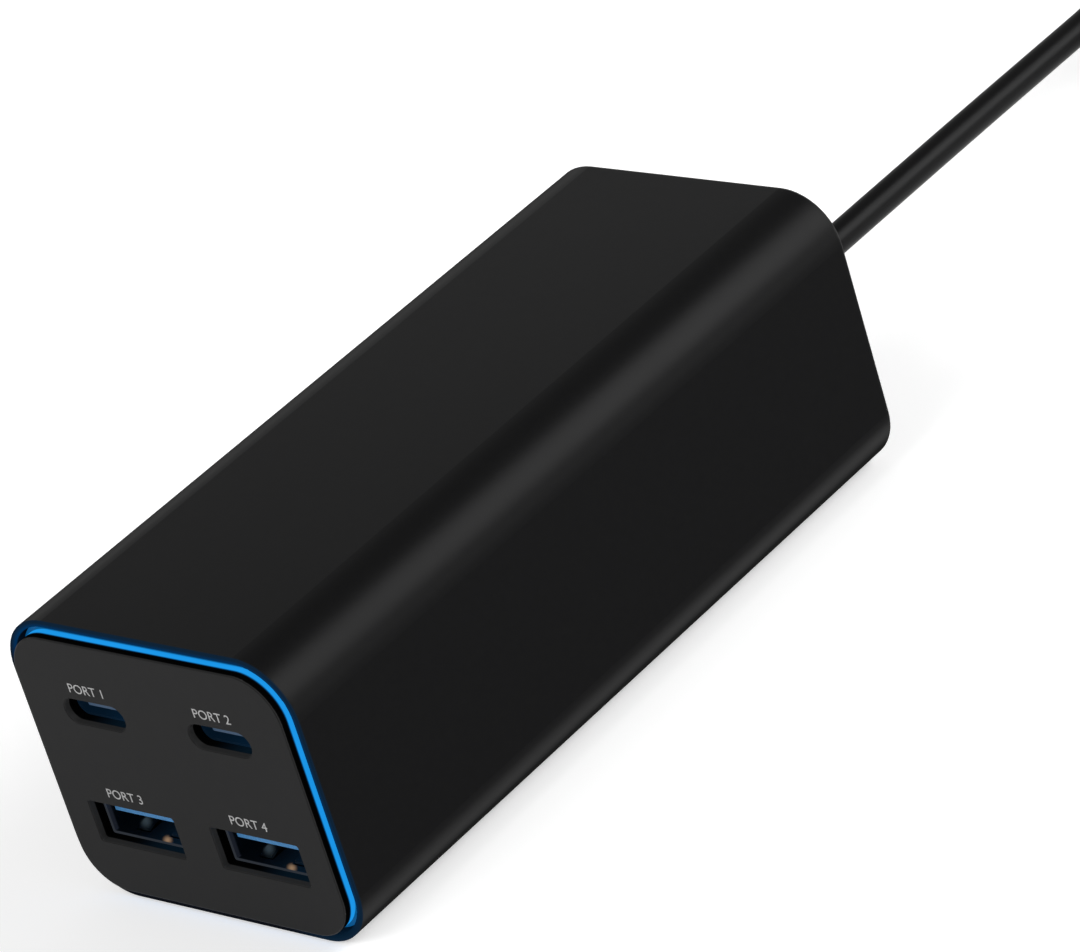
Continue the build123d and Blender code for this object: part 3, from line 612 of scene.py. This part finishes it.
def port_steel():
    """Plated sheet of the sockets, with painted light as emission: blue inside, a painted highlight at the
    larger ones' front edge and left wall, a painted glint on a finger and a painted reflection of the
    contacts.
    """
    finish = Finish("port_steel")
    lines = finish.noise(4.0, source=finish.stretched(1.0, 0.06, 1.0))
    depth = finish.along("Y") - socket_front
    across = across_socket(finish)
    upper = in_upper_row(finish)
    lower = 1 - upper

    def glint(middle_across, middle_depth, radius):
        """1 in the middle of a small slanting painted glint on the larger sockets, and 0 round it."""
        behind = depth - middle_depth
        beside = across - middle_across + glint_slant * behind
        distance = (beside * beside + behind * behind) ** 0.5
        return (1 - finish.between(distance, 0.0, radius)) * lower

    # Painted light inside the sockets: near black on the left, blue towards the right, bluer in the smaller
    # ones.
    light = finish.mix(
        finish.between(across, -3.0, 4.5),
        finish.mix(upper, colour(0.0002, 0.0006, 0.0012), colour(0.001, 0.006, 0.014)),
        finish.mix(upper, colour(0.0012, 0.006, 0.013), colour(0.0012, 0.011, 0.028)),
    )
    painted_left_wall_light = (1 - finish.between(across, -6.2, -6.0)) * (1 - finish.between(depth, 0.5, 0.8)) * lower
    light = finish.mix(painted_left_wall_light, light, colour(0.009, 0.011, 0.017))
    light = finish.mix(glint(*finger_glint), light, colour(0.028, 0.041, 0.050))
    light = finish.mix(glint(*contact_glint), light, colour(0.27, 0.17, 0.10))
    # Painted highlight along the front edge of the larger sockets.
    painted_edge_highlight = (1 - finish.between(depth, 0.02, 0.14)) * lower
    return finish.surface(
        Base_Color=mottled(finish, colour(0.05, 0.062, 0.08), 0.1, 0.8),
        Metallic=1.0,
        Roughness=0.26 + 0.14 * lines,
        Emission_Color=finish.mix(painted_edge_highlight, light, colour(0.025, 0.029, 0.036)),
        Emission_Strength=1.0,
        Normal=finish.bump(lines, 0.002),
    )


def tongue_plastic(name, shade, painted_edge_light):
    """Moulded tongue of a socket, with a painted highlight on its front edge."""
    finish = Finish(name)
    grain = finish.noise(6.0)
    # Painted highlight on the faces that look out of the mouth.
    painted_edge_highlight = 1 - finish.between(finish.along("Y", finish.facing()), -0.8, -0.4)
    return finish.surface(
        Base_Color=mottled(finish, shade, 0.1, 1.2),
        Roughness=0.4 + 0.1 * grain,
        Specular_IOR_Level=0.3,
        Emission_Color=finish.mix(painted_edge_highlight, grey(0.0), painted_edge_light),
        Emission_Strength=1.0,
        Normal=finish.bump(grain, 0.002),
    )


def plated_metal(name, shade, roughness):
    """Plated contacts and pins, with fine wear along their length."""
    finish = Finish(name)
    wear = finish.noise(3.0, detail=4.0, source=finish.stretched(1.0, 0.15, 1.0))
    return finish.surface(
        Base_Color=mottled(finish, shade, 0.08, 0.9),
        Metallic=1.0,
        Roughness=roughness + 0.12 * wear,
        Normal=finish.bump(wear, 0.0015),
    )


def board_green():
    """Circuit board: solder resist with its tracks showing through."""
    finish = Finish("board_green")
    cells = {"feature": "DISTANCE_TO_EDGE", "distance": "EUCLIDEAN"}
    edge = finish.node("ShaderNodeTexVoronoi", cells, {"Vector": finish.place, "Scale": 0.45}, "Distance")
    track = 1 - finish.between(edge, 0.05, 0.09)
    resist = mottled(finish, colour(0.010, 0.085, 0.035), 0.15, 0.5)
    return finish.surface(
        Base_Color=finish.mix(track, resist, colour(0.03, 0.2, 0.07)),
        Roughness=0.3 + 0.1 * track,
        Coat_Weight=0.3,
        Normal=finish.bump(track, 0.03),
    )


def lamp_glow():
    """Small lamps of the ring, brightest over the chip in the middle."""
    finish = Finish("lamp")
    chip = finish.noise(1.5)
    return finish.surface(
        Base_Color=mottled(finish, colour(0.7, 0.75, 0.5), 0.05, 1.0),
        Roughness=0.35 + 0.1 * chip,
        Emission_Color=finish.mix(chip, colour(0.08, 0.40, 0.95), colour(0.25, 0.60, 1.0)),
        Emission_Strength=1.0,
    )


def moulded_plastic(name, shade, roughness, gloss):
    """Plain moulded or cast piece with a fine texture."""
    finish = Finish(name)
    grain = finish.noise(4.0, detail=3.0)
    return finish.surface(
        Base_Color=mottled(finish, shade, 0.12, 0.8),
        Roughness=roughness + 0.08 * grain,
        Specular_IOR_Level=gloss,
        Normal=finish.bump(grain, 0.004),
    )


def ferrite():
    """Sintered core: dark grey with paler grains and small pits."""
    finish = Finish("ferrite")
    grains = finish.node("ShaderNodeTexVoronoi", None, {"Vector": finish.place, "Scale": 3.0}, "Distance")
    return finish.surface(
        Base_Color=finish.mix(grains, colour(0.03, 0.03, 0.033), colour(0.085, 0.085, 0.09)),
        Roughness=0.45 + 0.25 * grains,
        Specular_IOR_Level=0.4,
        Normal=finish.bump(grains, 0.02),
    )


def bands(finish, direction, pitch):
    """Even waves across a piece, with this pitch in millimetres."""
    waves_per_unit = math.pi / 10
    settings = {"wave_type": "BANDS", "bands_direction": direction}
    sockets = {"Vector": finish.place, "Scale": waves_per_unit / pitch, "Distortion": 0.6, "Detail": 1.0}
    return finish.node("ShaderNodeTexWave", settings, sockets, "Fac")


def winding_tape():
    """Winding wrapped in yellow tape, with the edges of its layers showing."""
    finish = Finish("winding_tape")
    layers = bands(finish, "Z", 0.9)
    return finish.surface(
        Base_Color=finish.mix(layers, colour(0.55, 0.33, 0.02), colour(0.75, 0.48, 0.04)),
        Roughness=0.28 + 0.1 * layers,
        Coat_Weight=0.2,
        Normal=finish.bump(layers, 0.03),
    )


def copper_wire():
    """Close turns of enamelled wire."""
    finish = Finish("copper_wire")
    turns = bands(finish, "Y", 0.6)
    return finish.surface(
        Base_Color=finish.mix(turns, colour(0.20, 0.06, 0.02), colour(0.66, 0.25, 0.10)),
        Metallic=1.0,
        Roughness=0.22 + 0.2 * (1 - turns),
        Normal=finish.bump(turns, 0.15),
    )


def capacitor_sleeve():
    """Can in a dark shrunk sleeve, with a pale stripe down one side and a bare metal end."""
    finish = Finish("capacitor_sleeve")
    facing = finish.facing()
    stripe = finish.between(finish.along("X", facing), 0.86, 0.9)
    bare_end = finish.between(finish.along("Z", facing), 0.9, 0.95)
    sleeve = finish.mix(stripe, mottled(finish, colour(0.012, 0.016, 0.04), 0.15, 0.7), grey(0.42))
    return finish.surface(
        Base_Color=finish.mix(bare_end, sleeve, mottled(finish, grey(0.62), 0.08, 0.6)),
        Metallic=bare_end,
        Roughness=0.32 + 0.1 * finish.noise(1.5),
    )


def brushed_aluminium():
    """Folded sheet with the lines of its rolling."""
    finish = Finish("spreader_metal")
    lines = finish.noise(3.0, detail=4.0, source=finish.stretched(1.0, 0.04, 1.0))
    return finish.surface(
        Base_Color=mottled(finish, colour(0.70, 0.71, 0.73), 0.06, 0.5),
        Metallic=1.0,
        Roughness=0.3 + 0.18 * lines,
        Normal=finish.bump(lines, 0.004),
    )


def soft_pad():
    """Soft grey pad with a fine fill in it."""
    finish = Finish("pad_grey")
    fill = finish.noise(2.5, detail=4.0)
    return finish.surface(
        Base_Color=finish.mix(fill, colour(0.28, 0.31, 0.35), colour(0.42, 0.45, 0.49)),
        Roughness=0.7 + 0.15 * fill,
        Normal=finish.bump(fill, 0.03),
    )


def insulation_film():
    """Pale film with soft creases."""
    finish = Finish("insulation")
    creases = finish.noise(0.15, detail=3.0)
    return finish.surface(
        Base_Color=finish.mix(creases, colour(0.58, 0.55, 0.42), colour(0.72, 0.69, 0.57)),
        Roughness=0.25 + 0.15 * creases,
        Normal=finish.bump(creases, 0.15),
    )


def cord_jacket():
    """Smooth black jacket with the faint flow lines of its drawing."""
    finish = Finish("cord_jacket")
    flow = finish.noise(2.0, source=finish.stretched(1.0, 0.08, 1.0))
    return finish.surface(
        Base_Color=mottled(finish, colour(0.0034, 0.0034, 0.0036), 0.12, 0.6),
        Roughness=0.34 + 0.08 * flow,
        Specular_IOR_Level=0.08,
        Normal=finish.bump(flow, 0.004),
    )


def lead_jacket(name, shade):
    """Coloured insulation of a single wire."""
    finish = Finish(name)
    flow = finish.noise(1.6)
    return finish.surface(
        Base_Color=mottled(finish, shade, 0.12, 0.5),
        Roughness=0.42 + 0.1 * flow,
        Normal=finish.bump(flow, 0.006),
    )


def strap_weave():
    """Woven strap: fine ribs across it and threads along it."""
    finish = Finish("tie_strap")
    ribs = bands(finish, "Y", 0.5)
    threads = finish.noise(4.0, detail=3.0)
    weave = ribs * 0.7 + threads * 0.3
    return finish.surface(
        Base_Color=finish.mix(weave, grey(0.006), grey(0.022)),
        Roughness=0.7 + 0.2 * threads,
        Specular_IOR_Level=0.2,
        Normal=finish.bump(weave, 0.08),
    )


def marking_ink():
    """Pale grey print, a little uneven as printed ink is."""
    finish = Finish("marking_ink")
    cover = finish.noise(5.0, detail=3.0)
    return finish.surface(
        Base_Color=finish.mix(cover, grey(0.42), grey(0.55)),
        Roughness=0.5 + 0.1 * cover,
        Specular_IOR_Level=0.2,
    )


def floor_paper():
    """Plain white studio floor, topped up to white where it is seen directly or mirrored."""
    finish = Finish("floor_paper")
    seen = finish.node("ShaderNodeLightPath", output="Is Camera Ray")
    mirrored = finish.node("ShaderNodeLightPath", output="Is Glossy Ray")
    seen_through = finish.node("ShaderNodeLightPath", output="Is Transmission Ray")
    visible = finish.math("MINIMUM", seen + mirrored + seen_through, 1.0)
    distance = finish.node("ShaderNodeVectorMath", {"operation": "LENGTH"}, {"Vector": finish.place}, "Value")
    far_off = finish.between(distance, *floor_change)
    top_up = finish.mix(far_off, grey(floor_top_up), grey(far_floor_top_up))
    return finish.surface(
        Base_Color=mottled(finish, grey(0.85), 0.005, 0.02),
        Roughness=0.9,
        Specular_IOR_Level=0.0,
        Emission_Color=finish.mix(visible, grey(0.0), top_up),
        Emission_Strength=1.0,
    )


def all_finishes():
    """Each material slot of the record with its finish."""
    return {
        "shell_plastic": shell_plastic(),
        "plate_plastic": plate_plastic(),
        "ring_diffuser": ring_diffuser(),
        "port_steel": port_steel(),
        # The last colour of each tongue is its painted edge highlight.
        "tongue_blue": tongue_plastic("tongue_blue", colour(0.05, 0.26, 0.62), colour(0.02, 0.035, 0.04)),
        "tongue_dark": tongue_plastic("tongue_dark", colour(0.012, 0.030, 0.050), colour(0.035, 0.06, 0.105)),
        "contact_gold": plated_metal("contact_gold", colour(0.80, 0.55, 0.25), 0.25),
        "board_green": board_green(),
        "lamp": lamp_glow(),
        "part_black": moulded_plastic("part_black", grey(0.012), 0.5, 0.3),
        "ferrite": ferrite(),
        "bobbin_plastic": moulded_plastic("bobbin_plastic", grey(0.02), 0.4, 0.4),
        "winding_tape": winding_tape(),
        "copper_wire": copper_wire(),
        "pad_grey": soft_pad(),
        "capacitor_sleeve": capacitor_sleeve(),
        "film_box": moulded_plastic("film_box", colour(0.62, 0.40, 0.06), 0.35, 0.5),
        "fuse_body": moulded_plastic("fuse_body", colour(0.16, 0.045, 0.02), 0.35, 0.5),
        "spreader_metal": brushed_aluminium(),
        "insulation": insulation_film(),
        "cord_jacket": cord_jacket(),
        "lead_brown": lead_jacket("lead_brown", colour(0.14, 0.05, 0.02)),
        "lead_blue": lead_jacket("lead_blue", colour(0.02, 0.08, 0.36)),
        "tie_strap": strap_weave(),
        "plug_plastic": moulded_plastic("plug_plastic", grey(0.006), 0.4, 0.12),
        "pin_metal": plated_metal("pin_metal", colour(0.52, 0.51, 0.49), 0.18),
    }


def dress(piece, material):
    """Gives a piece or a node one finish all over."""
    piece.data.materials.clear()
    piece.data.materials.append(material)


# Studio: pale floor, soft sky and two softboxes
floor_size = 12.0
floor_drop = 0.05 * mm

# Sky low down and overhead, and the rise of a direction over which it changes, where 1 is straight up
low_sky = grey(0.47)
high_sky = grey(0.22)
sky_change = (0.35, 0.8)

# Light added to the floor where it is seen, near and far off, and the millimetres over which it changes
floor_top_up = 0.42
far_floor_top_up = 0.72
floor_change = (800.0, 3000.0)

# Softboxes: place and size in metres, and brightness of the face, where 1 is white
front_softbox = ((-0.3, -1.4, 1.6), (1.6, 1.2), 3.2)
edge_softbox = ((0.77, 0.73, 0.58), (0.82, 0.82), 6.0)


def studio_floor():
    """Plain floor under the charger."""
    data = bpy.data.meshes.new("studio_floor")
    mesh = bmesh.new()
    bmesh.ops.create_grid(mesh, x_segments=8, y_segments=8, size=floor_size / 2)
    mesh.to_mesh(data)
    mesh.free()
    floor = place_in_scene("studio_floor", data)
    floor.location.z = -floor_drop
    dress(floor, floor_paper())


def studio_sky():
    """Soft light from all round, brighter low down than overhead."""
    world = bpy.data.worlds.new("studio_sky")
    world.use_nodes = True
    nodes = Nodes(world.node_tree)
    direction = nodes.node("ShaderNodeTexCoord", output="Generated")
    upwards = nodes.node("ShaderNodeSeparateXYZ", None, {"Vector": direction}, "Z")
    light = nodes.mix(nodes.between(upwards, *sky_change), low_sky, high_sky)
    sky = nodes.node("ShaderNodeBackground", None, {"Color": light})
    nodes.node("ShaderNodeOutputWorld", None, {"Surface": sky}, output=None)
    scene.world = world


def softbox(name, place, size, brightness):
    """Flat lamp that faces the charger and that the camera doesn't see."""
    width, height = size
    data = bpy.data.lights.new(name, "AREA")
    data.shape = "RECTANGLE"
    data.size = width
    data.size_y = height
    data.energy = brightness * math.pi * width * height
    lamp = place_in_scene(name, data)
    lamp.location = place
    lamp.rotation_euler = (aim_point - Vector(place)).to_track_quat("-Z", "Y").to_euler()
    lamp.visible_camera = False


photograph_camera()
cord = mains_cord()
strap = cord_strap()
markings = [port_marking(number, *port) for number, port in enumerate(marked_ports, start=1)]
finishes = all_finishes()
for entry in frame["record"]["subparts"]:
    dress(frame["nodes"][entry["node"]], finishes[entry["material_slot"]])
dress(cord, finishes["cord_jacket"])
dress(strap, finishes["tie_strap"])
ink = marking_ink()
for marking in markings:
    dress(marking, ink)
for piece in (cord, strap, *markings):
    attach(piece, root)

studio_floor()
studio_sky()
softbox("front_softbox", *front_softbox)
softbox("edge_softbox", *edge_softbox)
